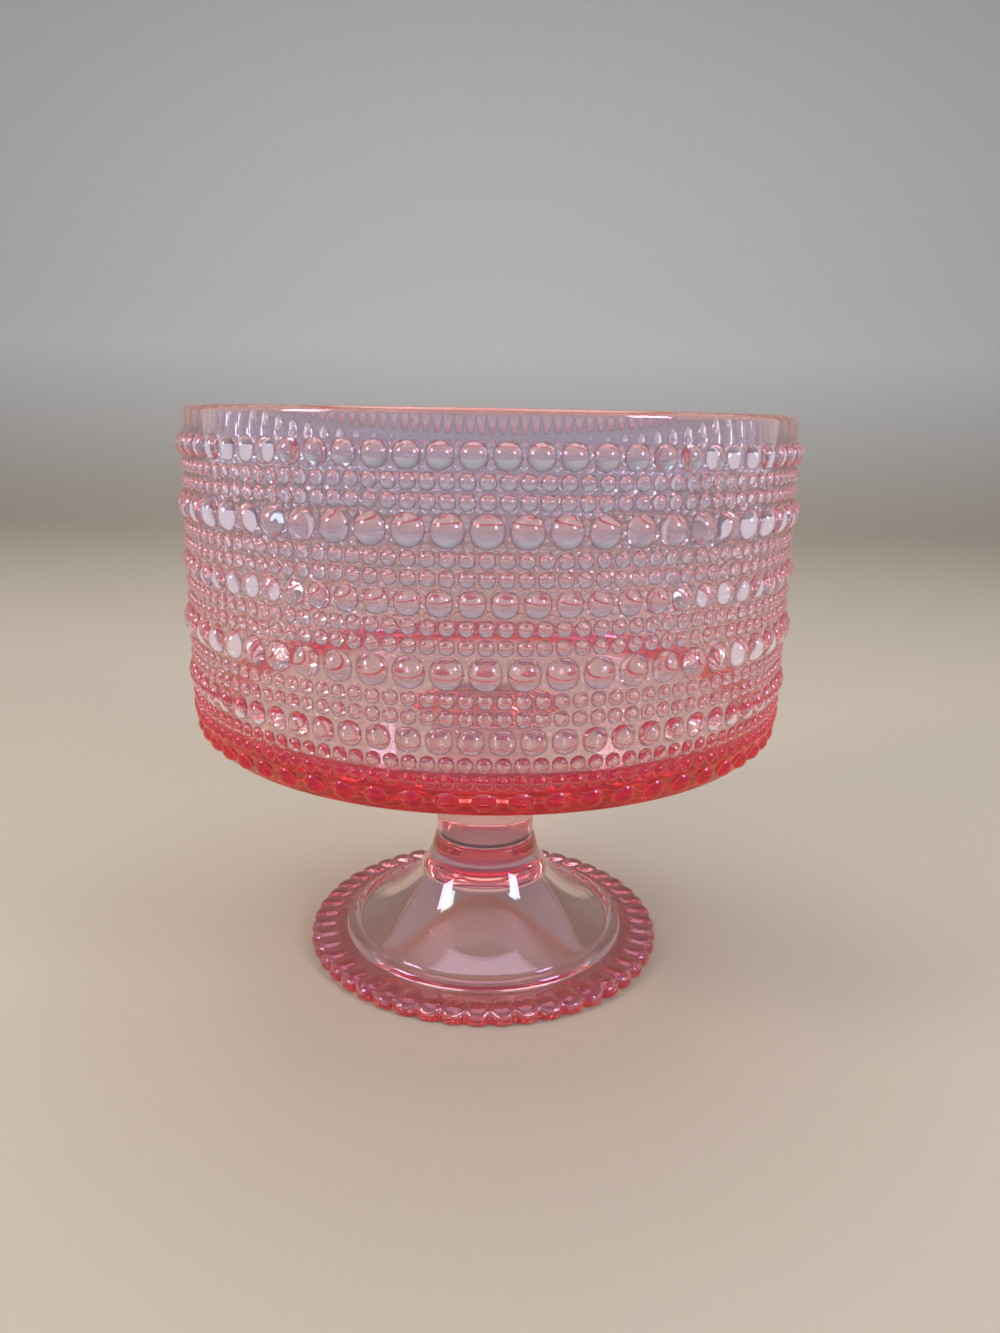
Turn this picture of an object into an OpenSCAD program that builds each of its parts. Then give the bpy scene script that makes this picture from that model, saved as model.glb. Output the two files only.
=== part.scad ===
// A footed trifle bowl of pressed glass: a straight-sided bowl covered in rows of round beads on a
// solid stem, and a hollow flared foot with a ribbed edge, held together by a thin clear film.
// The bowl stands on the plane z = 0 and its axis is Z.

/* [Bowl] */
// Outer radius of the plain wall
bowl_r = 105.6; // [90:0.1:125]
// Height of the bowl from its underside to the rim
bowl_h = 111.9; // [90:0.1:130]
// Thickness of the wall
wall_t = 4; // [3.4:0.1:5.5]
// Thickness of the floor
floor_t = 8.2; // [6:0.1:10]
// Height of the bevel round the lower corner outside
corner_h = 7; // [6:0.1:9]
// Height of the rounded heel under the bevel
heel_h = 1.6; // [0.8:0.1:3]
// Radius where the wall meets the floor inside
inner_corner_r = 7; // [4:0.1:10]

/* [Beads] */
// Plain band between the rim and the first row of beads
lip_band = 8.2; // [5:0.1:14]
// Gap between one row of beads and the next
row_gap = 0.6; // [0.3:0.01:1.2]
// Width of a small bead
small_w = 4.5; // [3.8:0.1:4.9]
// Height of a small bead above the wall
small_rise = 1.5; // [1:0.05:2]
// Width of a medium bead
medium_w = 7.5; // [6.5:0.1:8.2]
// Height of a medium bead above the wall
medium_rise = 2.6; // [1.6:0.05:3.2]
// Spacing of the medium beads round the wall
medium_pitch = 8.73; // [8.4:0.01:10]
// Width of a large bead
large_w = 9.2; // [8:0.1:9.8]
// Height of a large bead above the wall
large_rise = 3.1; // [2:0.05:3.8]
// Spacing of the large beads round the wall, and of two small ones
large_pitch = 10.53; // [10.2:0.01:12]
// Width of a bead on the lower bevel
corner_w = 7.2; // [6:0.1:7.4]
// Height of a bead on the lower bevel
corner_rise = 2.3; // [1.6:0.05:2.8]
// How far below level the lower bevel and its beads face, in degrees
corner_tilt = 26; // [15:1:35]

/* [Stem] */
// Height of the solid stem from the film to the bowl's underside
stem_h = 49.3; // [40:0.1:65]
// Radius of the stem at its waist
waist_r = 18.9; // [14:0.1:19.2]
// Height of the waist above the stem's lower end
waist_h = 8; // [6:0.1:14]
// Radius of the long hollow curve of the stem's side
stem_side_r = 150; // [110:1:300]
// Rounding of the stem's lower edge
stem_round = 1.2; // [0.5:0.1:2]
// Radius of the fillet where the stem meets the bowl's underside
fillet_r = 8; // [4:0.1:12]

/* [Film] */
// Thickness of the clear film between the stem and the foot
film_t = 0.2; // [0.1:0.05:0.4]
// How far the film stays inside the stem's edge
film_inset = 1.4; // [1.2:0.1:3]

/* [Foot] */
// Height of the foot from the table to the top of its collar
foot_h = 41.8; // [36:0.1:48]
// Radius of the collar at its top
collar_r = 19.8; // [19.4:0.1:21.4]
// Height of the collar
collar_h = 5.4; // [3:0.1:7]
// Rounding of the collar's upper edge
collar_round = 1.2; // [0.6:0.1:1.4]
// Radius where the flare leaves the collar
flare_top_r = 20.9; // [20:0.1:22]
// Radius of the long hollow curve of the flare
flare_r = 60; // [50:1:75]
// How far the flare's top leans out from upright, in degrees
flare_lean = 24; // [20:1:28]
// Radius from the axis to the middle of the raised ring
ring_r = 51.8; // [48:0.1:55]
// Radius of the raised ring's own section
ring_round = 3.2; // [2.6:0.1:3.6]
// Height of the raised ring's top above the table
ring_top = 7.8; // [7.4:0.1:9]
// Radius of the foot between the ribs
edge_r = 67; // [65:0.1:71]
// Thickness of the flat edge
edge_t = 4.6; // [4:0.1:5]
// Rounding of the flat edge's upper corner
edge_round = 2; // [1:0.1:2.4]
// Radius of the hollow's mouth
hollow_r = 57; // [54:0.1:58]
// Solid glass between the top of the hollow and the top of the collar
crown_t = 16; // [10:0.1:18]
// Glass between the hollow and the flare outside it
skin_t = 4.6; // [3.6:0.1:5.4]

/* [Ribs] */
// Number of ribs round the edge
rib_n = 48; // [36:1:52]
// Radius of a rib's section
rib_round = 3.6; // [3:0.1:4]
// How far the ribs stand out past the edge
rib_reach = 2; // [1:0.1:2.6]
// Length of a rib's straight part
rib_l = 4; // [1:0.1:5]
// Height of a rib above the flat edge
rib_rise = 0.9; // [0.5:0.1:1.4]

/* [Hidden] */
glass_colour = "pink";
film_colour = "mistyrose";

// Segments for a preview: the rings and the beads
ring_fn = 96;
side_fn = 720;
bead_fn = 24;

// Overrun of every cut
cut_over = 1;

// Depth of a bead's root below the face of the glass
bead_root = 1;

// How far the band under a row of small beads stands proud
band_proud = 0.05;

// Heights of the seats, from the table up
seam_z = foot_h + film_t;
underside_z = seam_z + stem_h;
rim_z = underside_z + bowl_h;
floor_z = underside_z + floor_t;
rim_round = wall_t / 2;

// The rows below the lip band repeat this order of beads
SMALL = 0;
MEDIUM = 1;
LARGE = 2;
row_order = [MEDIUM, SMALL, SMALL, LARGE, SMALL, SMALL];
bead_w = [small_w, medium_w, large_w];
bead_rise = [small_rise, medium_rise, large_rise];

// Where the first bead of a row stands, as a share of that row's spacing from the front
large_phase_share = -0.05;
medium_phase_share = 0.5;
rib_phase_share = -0.2;

large_n = round(2 * PI * bowl_r / large_pitch);
medium_n = round(2 * PI * bowl_r / medium_pitch);
bead_n = [2 * large_n, medium_n, large_n];
bead_phase = [
    large_phase_share * 360 / large_n,
    medium_phase_share * 360 / medium_n,
    large_phase_share * 360 / large_n
];

// The direction of the front
front_a = -90;

// Kind of bead in row i, and the height of that row's middle
function row_kind(i) = row_order[i % len(row_order)];
function row_step(i) = (bead_w[row_kind(i)] + bead_w[row_kind(i - 1)]) / 2 + row_gap;
function row_z(i) = i == 0 ? rim_z - lip_band - bead_w[row_kind(0)] / 2 : row_z(i - 1) - row_step(i);

// Rows are added down the wall while they clear the bevel
bevel_low_z = underside_z + heel_h;
bevel_z = bevel_low_z + corner_h;
function row_count(i = 0) = row_z(i) - bead_w[row_kind(i)] / 2 < bevel_z ? i : row_count(i + 1);

// The bevel is a zone of a large ball round the axis, and its beads stand on the zone's middle
corner_mid_z = bevel_low_z + corner_h / 2;
corner_mid_r = bowl_r - corner_h / 2 * tan(corner_tilt);
corner_ball_z = corner_mid_z + corner_mid_r * tan(corner_tilt);
corner_ball_r = corner_mid_r / cos(corner_tilt);
heel_r = sqrt(corner_ball_r ^ 2 - (corner_ball_z - bevel_low_z) ^ 2);

// The band of wall that carries row i reaches half a gap past its beads, up and down
function band_reach(i) = (bead_w[row_kind(i)] + row_gap) / 2;

// Radius of the ball whose cap is w wide and stands out by rise
function cap_r(w, rise) = (w * w / 4 + rise * rise) / (2 * rise);

// The stem's radius at a height h above its lower end
function stem_r(h) = waist_r + stem_side_r - sqrt(stem_side_r ^ 2 - (h - waist_h) ^ 2);

// The foot's heights and radii that follow from its named sizes
collar_z = foot_h - collar_h;
flare_mid_r = flare_top_r + flare_r * cos(flare_lean);
flare_mid_z = collar_z + flare_r * sin(flare_lean);
ring_z = ring_top - ring_round;
hollow_top_z = foot_h - crown_t;
rib_z = edge_t + rib_rise - rib_round;
rib_end_r = edge_r + rib_reach - rib_round;

// Half of a section, right of the axis, turned about it
module turned() {
    rotate_extrude($fn = ring_fn) intersection() {
        children();
        translate([0, -rim_z]) square([2 * bowl_r, 3 * rim_z]);
    }
}

// Section of the space inside the bowl
module inside_section() {
    r = bowl_r - wall_t;
    high = rim_z + cut_over;
    translate([0, floor_z + inner_corner_r]) square([r, high - floor_z - inner_corner_r]);
    translate([0, floor_z]) square([r - inner_corner_r, high - floor_z]);
    translate([r - inner_corner_r, floor_z + inner_corner_r]) circle(inner_corner_r, $fn = ring_fn);
}

// Section of the bowl without its beads. Where medium and large beads stand, the wall swells by a
// hair, as a zone of a ball round the axis, so that every bead meets it in a true circle.
module shell_section() {
    first_z = row_z(0) + band_reach(0);
    last = row_count() - 1;
    difference() {
        union() {
            translate([0, first_z]) square([bowl_r, rim_z - rim_round - first_z]);
            for (i = [0 : last])
                intersection() {
                    translate([0, row_z(i) - band_reach(i)]) square([bowl_r, 2 * band_reach(i)]);
                    if (row_kind(i) != SMALL) translate([0, row_z(i)]) circle(bowl_r, $fn = side_fn);
                }
            translate([0, bevel_z]) square([bowl_r, row_z(last) - band_reach(last) - bevel_z]);
            intersection() {
                translate([0, corner_ball_z]) circle(corner_ball_r, $fn = side_fn);
                translate([0, bevel_low_z]) square([bowl_r, corner_h]);
            }
            translate([0, underside_z]) square([heel_r - heel_h, 2 * heel_h]);
            translate([heel_r - heel_h, bevel_low_z]) circle(heel_h, $fn = ring_fn);
        }
        inside_section();
    }
    translate([bowl_r - rim_round, rim_z - rim_round]) circle(rim_round, $fn = ring_fn);
}

// Section of the stem: a solid drum with a hollow side and a fillet under the bowl
module stem_section() {
    low_r = stem_r(stem_round);
    top_r = stem_r(stem_h - fillet_r);
    difference() {
        translate([0, seam_z + stem_round])
            square([top_r + fillet_r, stem_h - stem_round + floor_t / 2]);
        translate([waist_r + stem_side_r, seam_z + waist_h]) circle(stem_side_r, $fn = side_fn);
        translate([top_r + fillet_r, underside_z - fillet_r]) circle(fillet_r, $fn = ring_fn);
    }
    translate([0, seam_z]) square([low_r - stem_round, 2 * stem_round]);
    translate([low_r - stem_round, seam_z + stem_round]) circle(stem_round, $fn = ring_fn);
}

// A bead: the cap of a ball, w wide and rise high, on a short root that goes into the glass
module bead(w, rise) {
    ball_r = cap_r(w, rise);
    rotate_extrude($fn = bead_fn) intersection() {
        translate([0, rise - ball_r]) circle(ball_r, $fn = bead_fn);
        translate([0, -bead_root]) square([ball_r, bead_root + rise]);
    }
}

// A ring of n beads that face outwards, tilted down by tilt, whose feet lie at radius r and height z
module bead_ring(n, phase, w, rise, r, z, tilt = 0) {
    for (i = [0 : n - 1])
        rotate(front_a + phase + i * 360 / n) translate([r, 0, z]) rotate([0, 90 + tilt, 0])
            bead(w, rise);
}

// A row of small beads: upright half rounds on a band that stands a hair proud of the wall
module small_row(n, phase, z) {
    ball_r = cap_r(small_w, small_rise);
    translate([0, 0, z - small_w / 2]) linear_extrude(small_w) difference() {
        union() {
            circle(bowl_r + band_proud, $fn = ring_fn);
            for (i = [0 : n - 1])
                rotate(front_a + phase + i * 360 / n) translate([bowl_r + small_rise - ball_r, 0])
                    circle(ball_r, $fn = bead_fn);
        }
        circle(bowl_r - wall_t / 2, $fn = ring_fn);
    }
}

module bowl() {
    last = row_count() - 1;
    color(glass_colour) {
        turned() {
            shell_section();
            stem_section();
        }
        for (i = [0 : last + 1]) {
            k = row_kind(i);
            if (i > last)
                bead_ring(
                    large_n, bead_phase[LARGE], corner_w, corner_rise, corner_mid_r, corner_mid_z,
                    corner_tilt
                );
            else if (k == SMALL) small_row(bead_n[k], bead_phase[k], row_z(i));
            else bead_ring(bead_n[k], bead_phase[k], bead_w[k], bead_rise[k], bowl_r, row_z(i));
        }
    }
}

module bond_film() {
    color(film_colour)
        translate([0, 0, foot_h]) cylinder(r = waist_r - film_inset, h = film_t, $fn = ring_fn);
}

// Section of the collar, whose side slopes out to the flare, with a rounded upper edge
module collar_section() {
    polygon([
        [0, collar_z], [flare_top_r, collar_z], [collar_r, foot_h - collar_round],
        [collar_r - collar_round, foot_h], [0, foot_h]
    ]);
    translate([collar_r - collar_round, foot_h - collar_round]) circle(collar_round, $fn = ring_fn);
}

// Section under the hollow curve that sweeps down from the collar to the ring. The inner face of the
// glass is the same shape, in by the thickness t.
module flare_section(t) {
    difference() {
        square([ring_r, collar_z]);
        translate([flare_mid_r, flare_mid_z]) circle(flare_r + t, $fn = side_fn);
    }
}

// Section of the raised ring and of the flat edge with its rounded corner
module edge_section() {
    translate([ring_r, ring_z]) circle(ring_round, $fn = ring_fn);
    square([edge_r - edge_round, edge_t]);
    square([edge_r, edge_t - edge_round]);
    translate([edge_r - edge_round, edge_t - edge_round]) circle(edge_round, $fn = ring_fn);
}

// Section of the hollow under the foot
module hollow_section() {
    intersection() {
        flare_section(skin_t);
        square([hollow_r, hollow_top_z]);
    }
    polygon([[0, -cut_over], [hollow_r, -cut_over], [hollow_r, 0], [ring_r, ring_top - skin_t], [0, 0]]);
}

// A rib: a rod with round ends that lies along a radius, its outer end at rib_end_r
module rib() {
    translate([rib_end_r - rib_l, 0, rib_z]) rotate([0, 90, 0])
        rotate_extrude($fn = bead_fn) intersection() {
            union() {
                square([rib_round, rib_l]);
                circle(rib_round, $fn = bead_fn);
                translate([0, rib_l]) circle(rib_round, $fn = bead_fn);
            }
            translate([0, -rib_round]) square([rib_round, rib_l + 2 * rib_round]);
        }
}

module foot() {
    color(glass_colour) difference() {
        union() {
            turned() {
                collar_section();
                flare_section(0);
                edge_section();
            }
            for (i = [0 : rib_n - 1]) rotate(front_a + (i + rib_phase_share) * 360 / rib_n) rib();
        }
        turned() hollow_section();
        translate([0, 0, -rib_round]) cylinder(r = 2 * edge_r, h = rib_round, $fn = ring_fn);
    }
}

bowl();
bond_film();
foot();
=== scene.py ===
"""A footed trifle bowl of pressed pink glass: rows of round beads on a straight wall, a solid stem,
and a hollow flared foot with ribs round its edge. Sizes are in metres, and +Z is up."""

import math

import bpy
import numpy as np
from mathutils import Matrix


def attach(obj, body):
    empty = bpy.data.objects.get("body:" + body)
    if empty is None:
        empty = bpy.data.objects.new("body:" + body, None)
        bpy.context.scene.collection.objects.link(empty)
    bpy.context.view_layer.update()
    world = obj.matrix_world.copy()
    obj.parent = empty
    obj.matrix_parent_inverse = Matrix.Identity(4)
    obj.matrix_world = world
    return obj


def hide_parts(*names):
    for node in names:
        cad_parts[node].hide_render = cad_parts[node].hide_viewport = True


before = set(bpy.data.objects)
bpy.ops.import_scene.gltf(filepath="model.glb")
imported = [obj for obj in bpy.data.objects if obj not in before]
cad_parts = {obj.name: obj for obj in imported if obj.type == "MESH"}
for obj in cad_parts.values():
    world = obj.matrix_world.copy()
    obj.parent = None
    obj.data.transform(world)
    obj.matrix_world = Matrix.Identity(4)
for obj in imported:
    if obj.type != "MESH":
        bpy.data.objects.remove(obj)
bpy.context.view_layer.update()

bl_info = {
    "name": "Trifle Bowl",
    "version": (1, 0, 0),
    "blender": (4, 5, 0),
    "location": "View3D > Sidebar > Trifle Bowl",
    "description": "Makes a footed trifle bowl of beaded pink glass and a plain stage",
    "category": "Add Mesh",
}

MM = 0.001
TAU = 2 * math.pi
FRONT = -math.pi / 2  # the side that faces the camera
WELD = 2e-7  # points closer than this become one
ON_RING = 1e-6  # points this near to a circle lie on it
ROW_ORDER = ("medium", "small", "small", "large", "small", "small")
ROWS = 15
# Where a row's first bead stands, as a share of the row's spacing, and the points of a bead's tile:
# across its top, up its side, and from its pole to its foot
PHASES = {"small": -0.1, "medium": 0.5, "large": -0.05}
SEGMENTS = {"small": (3, 3, 2), "medium": (4, 3, 3), "large": (5, 4, 3)}
STITCH = 0.06 * MM  # plain strip beside a row whose points differ from the next row's
STEM_STEPS = 96
# Rings of points on flat faces, as shares of a radius: the floor inside, the underside, and the ends
# of the stem and of the foot's middle
FLOOR_RINGS = (0, 0.45, 0.8)
UNDER_RINGS = (0.7, 0.4)
END_RINGS = (0.5, 0)
INNER_FLAT = 12 * MM  # how far from the corner and from the rim the inner wall has its rings
LIP_FLAT = 0.4 * MM  # how far above the first row the lip band has its lowest ring
RIB_PHASE = -0.2  # where the first rib stands, as a share of the ribs' spacing
EDGE_ROUND = 2 * MM  # rounding of the foot's flat edge
FOOT_ROUND = 0.35 * MM  # rounding where the foot's edge meets the table
EDGE_STEPS = 26  # rings of points across the flat edge, where the ribs' tips lie
RING_JOIN = 0.77  # how far inside the ring's middle the flare meets it, as a share of its section
RING_START = 140  # where the raised ring's arc starts, in degrees
# The shallow hollow between the ring and the flat edge: out from the ring and up from the edge, in
# millimetres
RING_FOOT = ((0, 0.25), (0.5, 0.1), (1.1, 0))
HOLLOW_RIM = 4 * MM  # how far outside the hollow's mouth the standing face has a ring of points
HOLLOW_END = 6 * MM  # how far inside the raised ring the hollow's long curve ends
# A rib's end bulges: the middle and half the height of the bulge, as shares of the edge's height, and
# the least that it stands out, as a share of its reach
RIB_BULGE = (0.45, 0.62)
RIB_LEAST = 0.25
CREASE_BAND = 0.25  # width of the band of painted crease shade round a rib, as a share of the rib's half width
CREASE_POWER = 5  # draws the painted crease shade and highlight in to a narrow line
FLOOR_DROP = 0.2 * MM  # how far the stage's floor lies under the foot
BOUNCES = 40  # light runs far along the inside of the floor and the ribs

# Where one colour of the glass gives way to the next, in millimetres: heights, or radii from the axis
LOWER_TO_UPPER_WALL = (112, 185)
RIM_HEIGHTS = (200.8, 202)
CORNER_RADII = (90, 98)
CORNER_HEIGHTS = (101, 109)
FLARE_TO_EDGE = (52, 57)
COLLAR_HEIGHTS = (35.8, 37)
COLLAR_RADII = (18, 19.2)

# The lamps: name, place, size, share of the set power, colour; each aims at a point above the floor
LAMPS = (
    ("left_lamp", (-1.0, -0.4, 0.72), 0.32, 0.75, (1.0, 0.93, 0.85)),
    ("right_lamp", (0.95, -0.65, 0.68), 0.3, 0.75, (0.86, 0.93, 1.0)),
    ("top_lamp", (0.0, 0.3, 1.5), 1.2, 1.3, (1, 1, 1)),
)
AIM_Z = 0.12
SKY_COLOUR = (0.86, 0.9, 0.95, 1)
SKY_POWER = 0.9  # strength of the sky behind the bowl
SKY_TURN = (-0.6, 0.8)  # the Y of a direction at which the sky starts and ends to brighten
WALL_FROM = 0.35  # height at which the floor's colour has become the backdrop's

# The camera, solved from the photograph: place, pitch down, yaw and roll in degrees, and lens
CAMERA_PLACE = (0, -0.3541, 0.2002)
CAMERA_TURN = (14.41, 0.763, 1.039)
SENSOR, LENS = 36, 34.54


def length(name, text, mm):
    return bpy.props.FloatProperty(
        name=name, description=text, default=mm * MM, min=0, unit="LENGTH", precision=5
    )


def colour(name, text, rgb):
    return bpy.props.FloatVectorProperty(
        name=name, description=text, default=rgb, size=3, min=0, max=1, subtype="COLOR"
    )


def number(name, text, value):
    return bpy.props.FloatProperty(name=name, description=text, default=value)


def count(name, text, value):
    return bpy.props.IntProperty(name=name, description=text, default=value, min=1)


class BowlSizes(bpy.types.PropertyGroup):
    """Sizes of the bowl with its stem."""

    wall_r: length("Wall radius", "Outer radius of the plain wall", 105.6)
    wall_t: length("Wall", "Thickness of the wall", 4)
    rim_z: length("Rim", "Height of the rim above the table", 203.19)
    underside_z: length("Underside", "Height of the bowl's underside", 91.3)
    floor_t: length("Floor", "Thickness of the floor", 8.2)
    heel_h: length("Heel", "Height of the rounded heel under the bevel", 1.6)
    bevel_h: length("Bevel", "Height of the bevel round the lower corner", 7)
    corner_r: length("Inner corner", "Radius where the wall meets the floor inside", 7)
    lip_band: length("Lip band", "Plain band above the first row of beads", 8.2)
    row_gap: length("Row gap", "Gap between two rows of beads", 0.6)
    bead_fillet: length("Bead fillet", "Width of the small hollow round a bead's foot", 0.12)
    small_w: length("Small bead", "Width of a small bead", 4.5)
    small_rise: length("Small rise", "Height of a small bead", 1.45)
    small_n: count("Small beads", "Small beads in a row", 126)
    medium_w: length("Medium bead", "Width of a medium bead", 7.5)
    medium_rise: length("Medium rise", "Height of a medium bead", 2.5)
    medium_n: count("Medium beads", "Medium beads in a row", 76)
    large_w: length("Large bead", "Width of a large bead", 9.2)
    large_rise: length("Large rise", "Height of a large bead", 3.0)
    large_n: count("Large beads", "Large beads in a row", 63)
    corner_w: length("Bevel bead", "Width of a bead on the bevel", 7.2)
    corner_rise: length("Bevel rise", "Height of a bead on the bevel", 2.2)
    corner_tilt: number("Bevel tilt", "How far below level the bevel faces, in degrees", 26)
    stem_z: length("Stem end", "Height of the stem's lower end, a hair inside the film", 41.98)
    waist_r: length("Waist", "Radius of the stem at its waist", 18.9)
    waist_h: length("Waist height", "Height of the waist above the stem's end", 8)
    stem_side_r: length("Stem side", "Radius of the stem's long hollow side", 150)
    stem_round: length("Stem edge", "Rounding of the stem's lower edge", 1.2)
    stem_fillet: length("Stem fillet", "Fillet where the stem meets the bowl", 8)


class FootSizes(bpy.types.PropertyGroup):
    """Sizes of the foot."""

    foot_h: length("Height", "Height of the collar's top, a hair inside the film", 41.82)
    collar_r: length("Collar", "Radius of the collar at its top", 19.8)
    collar_h: length("Collar height", "Height of the collar", 5.4)
    collar_round: length("Collar edge", "Rounding of the collar's upper edge", 1.2)
    flare_top_r: length("Flare top", "Radius where the flare leaves the collar", 20.9)
    flare_r: length("Flare", "Radius of the long hollow curve of the flare", 60)
    flare_lean: number("Flare lean", "How far the flare's top leans out from upright, in degrees", 24)
    ring_r: length("Ring", "Radius from the axis to the raised ring", 51.8)
    ring_round: length("Ring section", "Radius of the raised ring's section", 3.2)
    ring_top: length("Ring top", "Height of the raised ring", 7.8)
    edge_r: length("Edge", "Radius of the foot between its ribs", 67)
    edge_t: length("Edge height", "Thickness of the flat edge", 4.6)
    hollow_r: length("Hollow mouth", "Radius of the hollow's mouth", 57)
    crown_t: length("Crown", "Solid glass above the hollow", 16)
    skin_t: length("Skin", "Glass between the hollow and the flare", 4.6)
    rib_n: count("Ribs", "Number of ribs round the edge", 48)
    rib_w: length("Rib width", "Width of a rib", 7.2)
    rib_rise: length("Rib rise", "Height of a rib above the flat edge", 0.9)
    rib_reach: length("Rib reach", "How far a rib stands past the edge", 2)
    rib_tip_r: length("Rib tip", "Radius at which a rib's inner tip lies", 59)


class GlassLook(bpy.types.PropertyGroup):
    """Colours of the glass, and the painted shade and highlight in its creases."""

    tint: colour("Tint", "Colour that thick glass keeps", (0.96, 0.3, 0.3))
    depth: number("Depth", "How strongly the glass absorbs, per metre", 14)
    lustre: number("Lustre", "Thickness of the lustre film, in nanometres", 330)
    pale: colour("Pale glass", "Colour of the upper wall", (0.92, 0.9, 1.0))
    rose: colour("Rose glass", "Colour of the lower wall and the flare", (0.98, 0.87, 0.86))
    red: colour("Red glass", "Colour of the lowest row and the bevel", (0.82, 0.035, 0.035))
    collar: colour("Collar", "Colour of the foot's collar", (0.74, 0.08, 0.07))
    # painted shade: darkens the crease round each bead and rib
    outline: colour("Outline", "Colour of the crease round each bead and rib", (0.4, 0.27, 0.34))
    # painted highlight: lightens the crease round a bead in the red glass
    painted_crease_highlight: colour("Glint", "Colour of the crease round a bead in the red glass", (1.0, 0.9, 0.84))
    rim: colour("Rim", "Colour of the rounded rim", (1.0, 0.74, 0.62))
    edge: colour("Foot edge", "Colour of the foot's flat band and ribs", (0.93, 0.46, 0.5))
    film_tint: colour("Film", "Colour of the clear film under the stem", (0.95, 0.86, 0.84))


class StageLook(bpy.types.PropertyGroup):
    """Colours and strengths of the stage."""

    floor: colour("Floor", "Colour of the floor", (0.66, 0.56, 0.46))
    wall: colour("Backdrop", "Colour of the backdrop", (0.90, 0.92, 0.95))
    glow: number("Backdrop glow", "Light that the backdrop adds where it is seen", 0.08)
    fill: number("Fill", "Strength of the soft light from the camera's side", 0.12)
    pale: number("Far wall", "Brightness of what is seen on the camera's side", 0.6)
    side_power: number("Side light", "Power of the two side lamps, in watts", 7)


def as_floats(group):
    """The group's values, for the functions below."""
    return {k: getattr(group, k) for k in group.__annotations__}


# Surfaces


def grid_faces(rows, cols, closed=True):
    """Quads of a grid whose points run along each row first; closed joins the last column to the
    first."""
    i, j = np.meshgrid(np.arange(rows - 1), np.arange(cols if closed else cols - 1), indexing="ij")
    k = (j + 1) % cols
    corners = [i * cols + j, i * cols + k, (i + 1) * cols + k, (i + 1) * cols + j]
    return np.stack(corners, -1).reshape(-1, 4)


def turned(r, z, angles):
    """A profile (r, z) turned about Z: x = r cos a, y = r sin a, for every angle a."""
    r, z = r[:, None], z[:, None]
    return np.stack([r * np.cos(angles), r * np.sin(angles), z + 0 * angles], -1)


def arc(cx, cz, radius, start, end, steps):
    """Points of a circle's arc round (cx, cz): c + radius (cos t, sin t), t in degrees from start to end."""
    t = np.radians(np.linspace(start, end, steps))
    return np.stack([cx + radius * np.cos(t), cz + radius * np.sin(t)], -1)


def weld(points, normals, faces):
    """Merges points that lie close together, sums their normals and creases, and turns faces that
    lose a corner into triangles."""
    keys = np.round(points / WELD).astype(np.int64)
    _, first, back = np.unique(keys, axis=0, return_index=True, return_inverse=True)
    back = back.reshape(-1)
    total = np.zeros((len(first), 4))
    np.add.at(total, back, normals)
    total, crease = total[:, :3], np.clip(total[:, 3], 0, 1)
    size = np.linalg.norm(total, axis=1, keepdims=True)
    quads = back[faces]
    same = quads == np.roll(quads, -1, axis=1)
    cut = same.sum(1) == 1
    tris = quads[cut][~same[cut]].reshape(-1, 3)
    return points[first], total / np.where(size > 0, size, 1), crease, quads[~same.any(1)], tris


def make_object(name, points, normals, faces):
    """A mesh object from arrays of points, normals and quads, welded into one closed skin. A normal's
    fourth number says how much its point lies in a crease, and a normal of zero is left to the faces
    round its point."""
    normals = np.zeros((len(points), 4)) if normals is None else normals
    co, norm, crease, quads, tris = weld(points, normals, faces)
    mesh = bpy.data.meshes.new(name)
    mesh.from_pydata(co.tolist(), [], quads.tolist() + tris.tolist())
    mesh.validate()
    mesh.shade_smooth()
    if norm.any():
        mesh.normals_split_custom_set_from_vertices(norm.tolist())
    # the crease attribute marks where the glass paints shade, or a highlight in the red glass, round beads
    # and ribs
    mesh.attributes.new("crease", "FLOAT", "POINT").data.foreach_set("value", crease.astype(np.float32))
    ob = bpy.data.objects.new(name, mesh)
    bpy.context.scene.collection.objects.link(ob)
    return ob


def turned_patch(profile, n, phase=0.0):
    """A profile turned into n steps, as points and quads that face away from the axis when it runs down."""
    angles = phase + TAU * np.arange(n) / n
    pts = turned(profile[:, 0], profile[:, 1], angles)
    return pts.reshape(-1, 3), None, grid_faces(len(profile), n)[:, ::-1]


def zipper(upper, lower):
    """Triangles, as quads with a doubled corner, between two rings of points with different counts.
    The angles of both rings are sorted into one list; each step along it makes one triangle."""
    def angle(p):
        return np.mod(np.arctan2(p[:, 1], p[:, 0]) - FRONT, TAU)

    upper, lower = upper[np.argsort(angle(upper))], lower[np.argsort(angle(lower))]
    nu, nl = len(upper), len(lower)
    a, b = angle(upper), angle(lower)
    order = np.argsort(np.concatenate([a, b]), kind="stable")
    is_up = order < nu
    seen_up, seen_low = np.cumsum(is_up), np.cumsum(~is_up)
    u0, l0 = (seen_up - is_up - 1) % nu, (seen_low - (~is_up) - 1) % nl
    u1, l1 = (seen_up - 1) % nu, (seen_low - 1) % nl
    quads = np.stack([u0, nu + l0, nu + l1, u1], -1)
    return np.concatenate([upper, lower]), None, quads


# Beads


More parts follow.
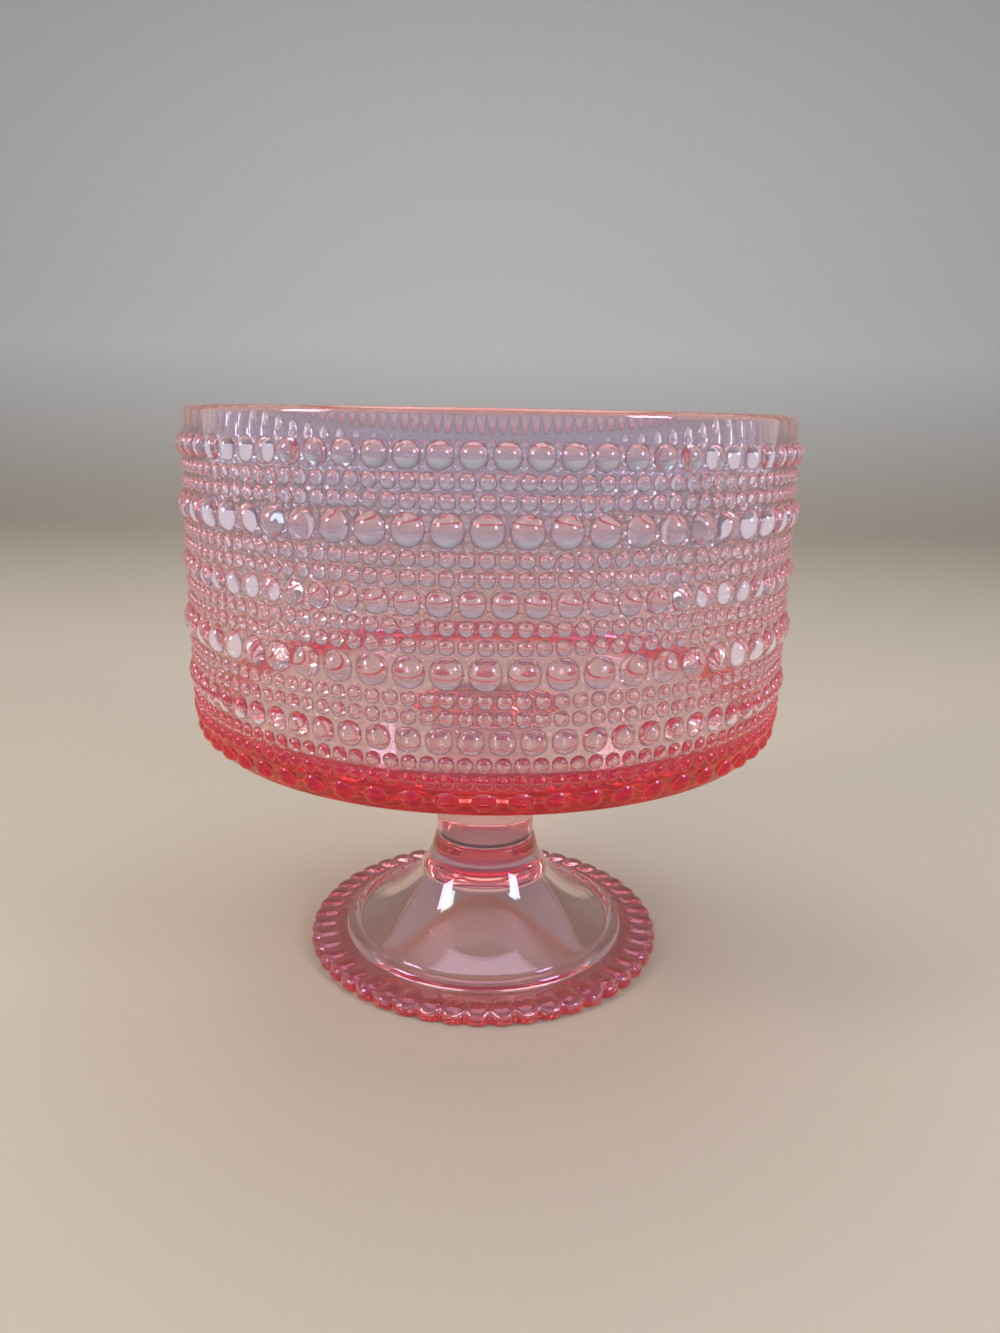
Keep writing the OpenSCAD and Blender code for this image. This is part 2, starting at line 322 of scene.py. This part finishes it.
def bead_tile(half_w, half_h, across, along, bead_w, rise, fillet, rings):
    """One bead on its tile, as (u, v, height) points and normals in rings from the pole out to the
    tile's edge. The cap is height = sqrt(R^2 - rho^2) - (R - rise), R = (w^2/4 + rise^2) / (2 rise),
    down to where the fillet starts. The spokes run to points spaced evenly along the tile's edges, or
    on a square tile to t = tan a for even angles a, which spaces the spokes themselves evenly."""
    side = np.linspace(-1, 1, across + 1)[:-1]
    post = np.linspace(-1, 1, along + 1)[:-1]
    if across == along:
        side, post = np.tan(side * TAU / 8), np.tan(post * TAU / 8)
    u = np.concatenate([side, np.ones(along), -side, -np.ones(along)]) * half_w
    v = np.concatenate([-np.ones(across), post, np.ones(across), -post]) * half_h
    spoke = np.arctan2(v, u)
    ball = (bead_w**2 / 4 + rise**2) / (2 * rise)
    slope = np.linspace(0, math.acos((ball - rise + fillet) / ball), rings + 1)
    rho = np.append(ball * np.sin(slope), bead_w / 2 + fillet)
    height = np.append(ball * np.cos(slope) - ball + rise, 0)
    lean = np.append(slope, 0)

    def rings_of(radial, edge_u, edge_v):
        pairs = ((np.cos, edge_u), (np.sin, edge_v))
        return [np.concatenate([radial[:, None] * turn(spoke), edge[None]]) for turn, edge in pairs]

    flat = np.zeros_like(u)
    points = [*rings_of(rho, u, v), np.append(height, 0)[:, None] + 0 * u]
    normals = [*rings_of(np.sin(lean), flat, flat), np.append(np.cos(lean), 1)[:, None] + 0 * u]
    # the fillet's rings are marked as crease, where the glass paints shade or a highlight
    crease = np.zeros_like(points[0])
    crease[rings : rings + 2] = 1
    return points, normals, crease


def bead_row(tile, n, phase, radius, z, tilt=0.0):
    """n copies of a tile round the axis, on a face that looks down by tilt from level. u runs round
    the axis as the angle u / radius, v runs up the face's slope, and the height goes out along its
    normal: r = radius + v sin t + h cos t, z + v cos t - h sin t."""
    (u, v, h), (nu, nv, nh), crease = tile
    centre = FRONT + phase + TAU * np.arange(n) / n
    a = centre[:, None, None] + u / radius
    lean, rise = math.sin(tilt), math.cos(tilt)

    def out_and_up(v, h):
        return v * lean + h * rise, v * rise - h * lean

    (out, up), (n_out, n_up) = out_and_up(v, h), out_and_up(nv, nh)
    r = radius + out
    cos, sin = np.cos(a), np.sin(a)
    points = np.stack([r * cos, r * sin, z + up + 0 * a], -1)
    normals = np.stack([n_out * cos - nu * sin, n_out * sin + nu * cos, n_up + 0 * a, crease + 0 * a], -1)
    rows, cols = u.shape
    faces = (np.arange(n)[:, None, None] * rows * cols + grid_faces(rows, cols)[None]).reshape(-1, 4)
    return points.reshape(-1, 3), normals.reshape(-1, 4), faces[:, ::-1]


class Parts:
    """Gathers patches of points, normals and quads into one skin."""

    def __init__(self):
        self.points, self.normals, self.faces, self.n = [], [], [], 0

    def add(self, points, normals, faces):
        self.points.append(points)
        self.normals.append(np.zeros((len(points), 4)) if normals is None else normals)
        self.faces.append(faces + self.n)
        self.n += len(points)
        return points

    def skin(self):
        return [np.concatenate(part) for part in (self.points, self.normals, self.faces)]


def ring_at(points, z, radius):
    """The points of a patch that lie on the circle at height z, each once."""
    off = abs(np.hypot(points[:, 0], points[:, 1]) - radius)
    found = points[(abs(points[:, 2] - z) < ON_RING) & (off < ON_RING)]
    _, first = np.unique(np.round(found / WELD).astype(np.int64), axis=0, return_index=True)
    return found[first]


def wall_rows(s, skin):
    """The rows of beads on the wall, from the lip band down. A row is as high as its beads and one gap,
    and a strip of triangles joins two rows whose points differ. Gives the points along the first row's
    top and those along the last row's bottom."""
    wall_r, z = s["wall_r"], s["rim_z"] - s["lip_band"] + s["row_gap"] / 2
    edges = []  # the points along each row's top and bottom, and its plain strip
    for i in range(ROWS):
        kind = ROW_ORDER[i % len(ROW_ORDER)]
        w, n = s[kind + "_w"], s[kind + "_n"]
        half_w, half_h = math.pi * wall_r / n, (w + s["row_gap"]) / 2
        land = 0 if kind == "small" else STITCH
        across, along, steps = SEGMENTS[kind]
        tile = bead_tile(
            half_w, half_h - land, across, along, w, s[kind + "_rise"], s["bead_fillet"], steps
        )
        row = skin.add(*bead_row(tile, n, PHASES[kind] * TAU / n, wall_r, z - half_h))
        top, low = (ring_at(row, z - half_h + side * (half_h - land), wall_r) for side in (1, -1))
        if edges and (land or edges[-1][2]):
            skin.add(*zipper(edges[-1][1], top))
        edges.append((top, low, land))
        z -= 2 * half_h
    return edges[0][0], edges[-1][1]


def bevel_foot(s):
    """The bevel's lower edge: its radius, which is wall radius - height * tan(tilt), and its height."""
    low_r = s["wall_r"] - s["bevel_h"] * math.tan(math.radians(s["corner_tilt"]))
    return low_r, s["underside_z"] + s["heel_h"]


def bevel_row(s, skin, wall_edge):
    """The bevel with its own row of beads, joined to the points along the wall's lower edge. Gives the
    points along the bevel's lower edge."""
    tilt = math.radians(s["corner_tilt"])
    n, half_bevel = s["large_n"], s["bevel_h"] / 2
    low_r, low_z = bevel_foot(s)
    mid_r, mid_z = s["wall_r"] - half_bevel * math.tan(tilt), low_z + half_bevel
    half_w, half_h = math.pi * mid_r / n, half_bevel / math.cos(tilt)
    across, along, steps = SEGMENTS["large"]
    tile = bead_tile(
        half_w, half_h, across, along, s["corner_w"], s["corner_rise"], s["bead_fillet"], steps
    )
    bevel = skin.add(*bead_row(tile, n, PHASES["large"] * TAU / n, mid_r, mid_z, tilt))
    skin.add(*zipper(wall_edge, ring_at(bevel, low_z + s["bevel_h"], s["wall_r"])))
    return ring_at(bevel, low_z, low_r)


def inside_profile(s, row_top):
    """The floor, the inner corner, the inside of the wall, and the round rim down to the first row."""
    wall_r, rim_z, half_t, corner = s["wall_r"], s["rim_z"], s["wall_t"] / 2, s["corner_r"]
    inner_r, floor_z = wall_r - s["wall_t"], s["underside_z"] + s["floor_t"]
    return np.concatenate([
        [[inner_r * share, floor_z] for share in FLOOR_RINGS],
        arc(inner_r - corner, floor_z + corner, corner, -90, 0, 9),
        [[inner_r, floor_z + corner + INNER_FLAT], [inner_r, rim_z - half_t - INNER_FLAT]],
        arc(wall_r - half_t, rim_z - half_t, half_t, 180, 0, 11),
        [[wall_r, row_top + LIP_FLAT], [wall_r, row_top]],
    ])


def stem_profile(s):
    """The rounded heel, the underside, and the stem down to its end. The stem's side is
    r = waist + R - sqrt(R^2 - (h - waist height)^2), h being the height above its end."""
    low_r, low_z = bevel_foot(s)
    heel, under_z, end_z = s["heel_h"], s["underside_z"], s["stem_z"]
    fillet, edge = s["stem_fillet"], s["stem_round"]
    h = np.linspace(edge, under_z - end_z - fillet, 18)
    side = s["waist_r"] + s["stem_side_r"] - np.sqrt(s["stem_side_r"] ** 2 - (h - s["waist_h"]) ** 2)
    return np.concatenate([
        arc(low_r - heel, low_z, heel, 0, -90, 7) - [STITCH, 0],
        [[low_r * share, under_z] for share in UNDER_RINGS],
        arc(side[-1] + fillet, under_z - fillet, fillet, 90, 180, 12),
        np.stack([side, end_z + h], -1)[::-1][1:],
        arc(side[0] - edge, end_z + edge, edge, 0, -90, 7)[1:],
        [[side[0] * share, end_z] for share in END_RINGS],
    ])


def bowl_skin(s):
    """The bowl and its stem as one closed skin. The rows and the bevel are tiles of beads; the lip with
    the inside, and the underside with the stem, are profiles turned about the axis. The lip is turned
    in the first row's own steps, so that their points meet."""
    skin = Parts()
    first, last = wall_rows(s, skin)
    low = bevel_row(s, skin, last)
    x, y, z = first[0]
    skin.add(*turned_patch(inside_profile(s, z), len(first), np.arctan2(y, x)))
    stem = skin.add(*turned_patch(stem_profile(s), STEM_STEPS))
    skin.add(*zipper(low, stem[:STEM_STEPS]))
    return skin.skin()


# Foot


def foot_profile(s):
    """The foot's section between two ribs, from the middle of its top down its outside, and round to
    the middle of its hollow. The hollow follows the flare's arc, further out by the skin."""
    top, collar_r, collar_round = s["foot_h"], s["collar_r"], s["collar_round"]
    ring_r, ring_round, edge_r, edge_t = s["ring_r"], s["ring_round"], s["edge_r"], s["edge_t"]
    ring_z = s["ring_top"] - ring_round
    lean = math.radians(s["flare_lean"])
    mid_r = s["flare_top_r"] + s["flare_r"] * math.cos(lean)
    mid_z = top - s["collar_h"] + s["flare_r"] * math.sin(lean)

    def curve(radius, start, end, steps):
        """The arc of a hollow curve from one height down to another, or on to a given radius."""
        ends = [180 + math.degrees(math.asin((mid_z - start) / radius))]
        ends.append(180 + math.degrees(math.acos((mid_r - end) / radius)))
        return arc(mid_r, mid_z, radius, *ends, steps)

    # the ring's arc ends where the shallow hollow starts, and the flat edge starts where that ends
    start, middle, end = [(ring_r + ring_round + out * MM, edge_t + up * MM) for out, up in RING_FOOT]
    ring_low = np.degrees(np.arcsin((start[1] - ring_z) / ring_round))
    flat = np.linspace(end[0], edge_r - EDGE_ROUND, EDGE_STEPS)
    return np.concatenate([
        [[collar_r * share, top] for share in END_RINGS[::-1]],
        arc(collar_r - collar_round, top - collar_round, collar_round, 90, 0, 8),
        curve(s["flare_r"], top - s["collar_h"], ring_r - ring_round * RING_JOIN, 42),
        arc(ring_r, ring_z, ring_round, RING_START, ring_low, 16),
        [middle],
        np.stack([flat, np.full_like(flat, edge_t)], -1),
        arc(edge_r - EDGE_ROUND, edge_t - EDGE_ROUND, EDGE_ROUND, 90, 0, 8)[1:],
        [[edge_r, h] for h in np.linspace(edge_t - EDGE_ROUND, FOOT_ROUND, 5)[1:]],
        arc(edge_r - FOOT_ROUND, FOOT_ROUND, FOOT_ROUND, 0, -90, 4)[1:],
        # the flat ring that the foot stands on, and the hollow inside it
        [[s["hollow_r"] + HOLLOW_RIM, 0], [s["hollow_r"], 0], [ring_r, s["ring_top"] - s["skin_t"]]],
        curve(s["flare_r"] + s["skin_t"], top - s["crown_t"], ring_r - HOLLOW_END, 24)[::-1],
        [[collar_r * share, top - s["crown_t"]] for share in END_RINGS],
    ])


def foot_skin(s, per_side=6):
    """The turned section, pushed out by the ribs. A rib is rise * sqrt(1 - (d / half)^2) high, where
    d is the distance from its middle line and half its half width, which closes in a round tip. The
    columns lie at d = half * sin t for even steps of t, and one runs down the middle of each gap."""
    profile = foot_profile(s)
    r, z = profile[:, :1], profile[:, 1:]
    half, tip_r, edge_r, edge_t = s["rib_w"] / 2, s["rib_tip_r"], s["edge_r"], s["edge_t"]
    pitch = TAU / s["rib_n"]
    off = np.append(half / tip_r * np.sin(np.linspace(-1, 1, 2 * per_side + 1) * TAU / 4), pitch / 2)
    a = (FRONT + (np.arange(s["rib_n"])[:, None] + RIB_PHASE) * pitch + off).reshape(-1)
    off = np.tile(abs(off), s["rib_n"])
    d = off * np.maximum(r, tip_r)
    inward = np.clip((tip_r + half - r) / half, 0, 1)
    half_here = half * np.sqrt(1 - inward**2) + 1e-6
    crest = np.sqrt(np.clip(1 - (d / half_here) ** 2, 0, 1))
    # up on the flat edge, and out past the edge from there down
    high = np.clip((z - (edge_t - EDGE_ROUND)) / EDGE_ROUND, 0, 1)
    outer = np.clip((r - (edge_r - EDGE_ROUND)) / EDGE_ROUND, 0, 1)
    middle, reach = RIB_BULGE
    bulge = np.sqrt(np.clip(1 - ((z / edge_t - middle) / reach) ** 2, RIB_LEAST**2, 1))
    stands = z > 0.01 * MM  # all but the face that the foot stands on
    on_edge = stands * (r > tip_r)
    out = r + np.where(stands, (r > tip_r) * bulge, RIB_LEAST) * outer * s["rib_reach"] * crest
    up = z + on_edge * s["rib_rise"] * crest * high
    pts = np.stack([out * np.cos(a), out * np.sin(a), up + 0 * a], -1)
    # the crease runs where d equals the half width, on the flat edge and over its rim; the glass paints shade
    # along it
    line = np.clip(1 - abs(d / half_here - 1) / CREASE_BAND, 0, 1) * on_edge
    normals = np.zeros((pts.size // 3, 4))
    normals[:, 3] = line.reshape(-1)
    return pts.reshape(-1, 3), normals, grid_faces(len(profile), len(a))[:, ::-1]


# Materials


class Value:
    """A node's output socket, so that shader maths can be written as an expression."""

    def __init__(self, tree, socket):
        self.tree, self.socket = tree, socket

    def _maths(self, operation, *terms):
        return node(self.tree, "ShaderNodeMath", {"operation": operation}, dict(enumerate(terms)))

    def __add__(self, other):
        return self._maths("ADD", self, other)

    def __mul__(self, other):
        return self._maths("MULTIPLY", self, other)

    def __rsub__(self, other):
        return self._maths("SUBTRACT", other, self)

    __radd__, __rmul__ = __add__, __mul__


def node(tree, kind, settings=None, sockets=None, out=0):
    """Adds a node, sets its own settings first, then the values or links of its sockets."""
    n = tree.nodes.new(kind)
    for key, value in (settings or {}).items():
        setattr(n, key, value)
    for key, value in (sockets or {}).items():
        if isinstance(value, Value):
            tree.links.new(value.socket, n.inputs[key])
        else:
            n.inputs[key].default_value = value
    return Value(tree, n.outputs[out])


def new_material(name):
    """An empty material and its node tree."""
    m = bpy.data.materials.new(name)
    m.use_nodes = True
    m.node_tree.nodes.clear()
    return m, m.node_tree


def output(tree, **sockets):
    """Links a material's output to its Surface and, for glass, its Volume."""
    end = tree.nodes.new("ShaderNodeOutputMaterial")
    for key, value in sockets.items():
        tree.links.new(value.socket, end.inputs[key])


def soft_step(tree, value, ends):
    """A share that goes smoothly from 0 to 1 as the value passes between two ends in millimetres."""
    start, end = (mm * MM for mm in ends)
    settings = {"interpolation_type": "SMOOTHSTEP"}
    return node(tree, "ShaderNodeMapRange", settings, {0: value, 1: start, 2: end})


def blend(tree, share, first, second):
    """A colour that goes from the first to the second by a share; each is a colour or a node's."""
    ends = {k: c if isinstance(c, Value) else (*c, 1) for k, c in ((6, first), (7, second))}
    return node(tree, "ShaderNodeMix", {"data_type": "RGBA"}, {0: share, **ends}, out=2)


def place(tree):
    """The height on the piece and the distance from its axis, from its Object coordinates."""
    where = node(tree, "ShaderNodeTexCoord", out="Object")
    height = node(tree, "ShaderNodeSeparateXYZ", None, {0: where}, out="Z")
    flat = node(tree, "ShaderNodeVectorMath", {"operation": "MULTIPLY"}, {0: where, 1: (1, 1, 0)})
    return height, node(tree, "ShaderNodeVectorMath", {"operation": "LENGTH"}, {0: flat}, out="Value")


def crease(tree):
    """How much a point lies in a crease, drawn in to a narrow line: the share of painted shade, or of painted
    highlight in the red glass, that the colour takes there.
    """
    share = node(tree, "ShaderNodeAttribute", {"attribute_name": "crease"}, out="Fac")
    return node(tree, "ShaderNodeMath", {"operation": "POWER"}, {0: share, 1: CREASE_POWER})


def bowl_colour(tree, look):
    """Red round the lower corner and in the lowest row, rose above it, and paler up to the rim. A painted
    shade darkens the crease round each bead, and round the beads in the red glass a painted highlight
    lightens it instead.
    """
    height, radius = place(tree)
    wall = blend(tree, soft_step(tree, height, LOWER_TO_UPPER_WALL), look.rose, look.pale)
    wall = blend(tree, soft_step(tree, height, RIM_HEIGHTS), wall, look.rim)
    corner = soft_step(tree, radius, CORNER_RADII) * (1 - soft_step(tree, height, CORNER_HEIGHTS))
    glass = blend(tree, corner, wall, look.red)
    # painted shade in each bead's crease, turning into a painted highlight round the red beads of the lower
    # corner
    return blend(tree, crease(tree), glass, blend(tree, corner, look.outline, look.painted_crease_highlight))


def foot_colour(tree, look):
    """Rose ribs and flat edge, a pale flare, a deep red collar, and a painted shade in the crease round each
    rib.
    """
    height, radius = place(tree)
    flare = blend(tree, soft_step(tree, radius, FLARE_TO_EDGE), look.rose, look.edge)
    side = soft_step(tree, height, COLLAR_HEIGHTS) * soft_step(tree, radius, COLLAR_RADII)
    glass = blend(tree, side, flare, look.collar)
    # painted shade in the crease round each rib
    return blend(tree, crease(tree), glass, look.outline)


def seen(tree):
    """1 for what the camera sees, also in a reflection and through glass, and 0 for soft light."""
    kinds = ("Camera", "Glossy", "Transmission")
    first, second, third = (node(tree, "ShaderNodeLightPath", out=f"Is {kind} Ray") for kind in kinds)
    settings = {"operation": "ADD", "use_clamp": True}
    return node(tree, "ShaderNodeMath", settings, {0: first + second, 1: third})


def pressed_glass(name, look, colour_of):
    """Clear glass that absorbs all but its tint as light goes through, under a thin lustre film."""
    m, tree = new_material(name)
    surface = node(tree, "ShaderNodeBsdfPrincipled", None, {
        "Base Color": colour_of(tree, look),
        "Roughness": 0.012,
        "IOR": 1.52,
        "Transmission Weight": 1.0,
        "Thin Film Thickness": look.lustre,
        "Thin Film IOR": 1.7,
    })
    volume = node(
        tree, "ShaderNodeVolumeAbsorption", None, {"Color": (*look.tint, 1), "Density": look.depth}
    )
    output(tree, Surface=surface, Volume=volume)
    return m


def dress(ob, material):
    """Gives an object one material on all its faces."""
    ob.data.materials.clear()
    ob.data.materials.append(material)


# Operators


class TRIFLE_OT_bowl(bpy.types.Operator):
    """Make the beaded bowl with its solid stem"""

    bl_idname = "trifle.bowl"
    bl_label = "Bowl"

    def execute(self, context):
        look = context.scene.trifle_glass
        ob = make_object("beaded_bowl", *bowl_skin(as_floats(context.scene.trifle_bowl)))
        dress(ob, pressed_glass("bowl_glass", look, bowl_colour))
        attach(ob, "root")
        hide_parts("bowl")
        return {"FINISHED"}


class TRIFLE_OT_foot(bpy.types.Operator):
    """Make the flared foot with its collar, raised ring and ribbed edge"""

    bl_idname = "trifle.foot"
    bl_label = "Foot"

    def execute(self, context):
        look = context.scene.trifle_glass
        ob = make_object("ribbed_foot", *foot_skin(as_floats(context.scene.trifle_foot)))
        dress(ob, pressed_glass("foot_glass", look, foot_colour))
        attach(ob, "root")
        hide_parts("foot")
        return {"FINISHED"}


class TRIFLE_OT_film(bpy.types.Operator):
    """Dress the thin clear film that holds the stem on the foot"""

    bl_idname = "trifle.film"
    bl_label = "Clear film"

    def execute(self, context):
        m, tree = new_material("clear_film")
        tint = context.scene.trifle_glass.film_tint
        output(tree, Surface=node(tree, "ShaderNodeBsdfPrincipled", None, {
            "Base Color": (*tint, 1), "Roughness": 0.02, "IOR": 1.5, "Transmission Weight": 1.0,
        }))
        dress(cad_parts["bond_film"], m)
        return {"FINISHED"}


class TRIFLE_OT_stage(bpy.types.Operator):
    """Set up the floor with its backdrop, the lamps and the camera"""

    bl_idname = "trifle.stage"
    bl_label = "Stage"

    def execute(self, context):
        scene, look = context.scene, context.scene.trifle_stage
        self.floor(look)
        self.lamps(scene, look)
        self.camera(scene)
        scene.view_settings.view_transform = "Standard"
        for limit in ("max_bounces", "glossy_bounces", "transmission_bounces"):
            setattr(scene.cycles, limit, BOUNCES)
        return {"FINISHED"}

    def floor(self, look):
        """A flat floor that turns up into a backdrop through a wide cove."""
        front, middle, back, top, cove, half, cols = -1.6, 0.2, 1.9, 2.6, 0.5, 3.0, 9
        line = np.concatenate([
            [[y, 0] for y in (front, middle, back - cove)],
            arc(back - cove, cove, cove, -90, 0, 16),
            [[back, top]],
        ])
        x, y, z = np.linspace(-half, half, cols), line[:, :1], line[:, 1:] - FLOOR_DROP
        pts = np.stack([x + 0 * y, y + 0 * x, z + 0 * x], -1)
        ob = make_object("floor", pts.reshape(-1, 3), None, grid_faces(len(line), cols, closed=False))
        m, tree = new_material("floor_paint")
        up = node(tree, "ShaderNodeMapRange", {"clamp": True}, {0: place(tree)[0], 1: 0.0, 2: WALL_FROM})
        output(tree, Surface=node(tree, "ShaderNodeBsdfPrincipled", None, {
            "Base Color": blend(tree, up, look.floor, look.wall),
            "Roughness": 0.9,
            "Emission Color": blend(tree, seen(tree) * up, (0, 0, 0), look.wall),
            "Emission Strength": look.glow,
        }))
        dress(ob, m)

    def lamps(self, scene, look):
        """Two soft side lamps and a soft top lamp, over a pale world that is brighter behind the bowl."""
        for name, spot, size, share, tint in LAMPS:
            data = bpy.data.lights.new(name, "AREA")
            data.shape, data.size, data.energy, data.color = "SQUARE", size, look.side_power * share, tint
            ob = bpy.data.objects.new(name, data)
            scene.collection.objects.link(ob)
            x, y, z = spot[0], spot[1], spot[2] - AIM_Z
            ob.location = spot
            ob.rotation_euler = (math.atan2(math.hypot(x, y), z), 0, math.atan2(x, -y))
        world = bpy.data.worlds.new("studio")
        scene.world = world
        world.use_nodes = True
        tree = world.node_tree
        tree.nodes.clear()
        where = node(tree, "ShaderNodeTexCoord", out="Generated")
        ahead = node(tree, "ShaderNodeSeparateXYZ", None, {0: where}, out="Y")
        low = look.fill + (look.pale - look.fill) * seen(tree)
        start, end = SKY_TURN
        power = node(tree, "ShaderNodeMapRange", None, {0: ahead, 1: start, 2: end, 3: low, 4: SKY_POWER})
        sky = node(tree, "ShaderNodeBackground", None, {"Color": SKY_COLOUR, "Strength": power})
        out = tree.nodes.new("ShaderNodeOutputWorld")
        tree.links.new(sky.socket, out.inputs["Surface"])

    def camera(self, scene):
        """The camera: its view runs along (sin yaw cos pitch, cos yaw cos pitch, -sin pitch), and its
        level axes are turned about it by the roll."""
        pitch, yaw, roll = (math.radians(a) for a in CAMERA_TURN)
        data = bpy.data.cameras.new("photo_camera")
        data.sensor_fit, data.sensor_width, data.lens = "HORIZONTAL", SENSOR, LENS
        data.clip_start = 0.01
        ob = bpy.data.objects.new("photo_camera", data)
        scene.collection.objects.link(ob)
        ahead = np.array([math.sin(yaw) * math.cos(pitch), math.cos(yaw) * math.cos(pitch), -math.sin(pitch)])
        side = np.array([math.cos(yaw), -math.sin(yaw), 0])
        up = np.cross(side, ahead)
        right = math.cos(roll) * side + math.sin(roll) * up
        up = -math.sin(roll) * side + math.cos(roll) * up
        turn = np.eye(4)
        turn[:3] = np.stack([right, up, -ahead, CAMERA_PLACE], -1)
        ob.matrix_world = Matrix(turn.tolist())
        scene.camera = ob


class TRIFLE_PT_panel(bpy.types.Panel):
    """Lists the pieces and their sizes"""

    bl_idname = "TRIFLE_PT_panel"
    bl_label = "Trifle Bowl"
    bl_space_type = "VIEW_3D"
    bl_region_type = "UI"
    bl_category = "Trifle Bowl"

    def draw(self, context):
        for name, pieces in GROUPS.items():
            group = getattr(context.scene, name)
            box = self.layout.box()
            for key in group.__annotations__:
                box.prop(group, key)
            for piece in pieces:
                box.operator(piece.bl_idname)


GROUPS = {
    "trifle_bowl": (TRIFLE_OT_bowl,),
    "trifle_foot": (TRIFLE_OT_foot,),
    "trifle_glass": (TRIFLE_OT_film,),
    "trifle_stage": (TRIFLE_OT_stage,),
}
SETTINGS = {
    "trifle_bowl": BowlSizes,
    "trifle_foot": FootSizes,
    "trifle_glass": GlassLook,
    "trifle_stage": StageLook,
}
OPERATORS = (TRIFLE_OT_bowl, TRIFLE_OT_foot, TRIFLE_OT_film, TRIFLE_OT_stage)
CLASSES = (*SETTINGS.values(), *OPERATORS, TRIFLE_PT_panel)


def register():
    for cls in CLASSES:
        bpy.utils.register_class(cls)
    for name, cls in SETTINGS.items():
        setattr(bpy.types.Scene, name, bpy.props.PointerProperty(type=cls))


def unregister():
    for name in SETTINGS:
        delattr(bpy.types.Scene, name)
    for cls in reversed(CLASSES):
        bpy.utils.unregister_class(cls)


def main():
    register()
    bpy.ops.trifle.stage()
    bpy.ops.trifle.bowl()
    bpy.ops.trifle.foot()
    bpy.ops.trifle.film()


if __name__ == "__main__":
    main()
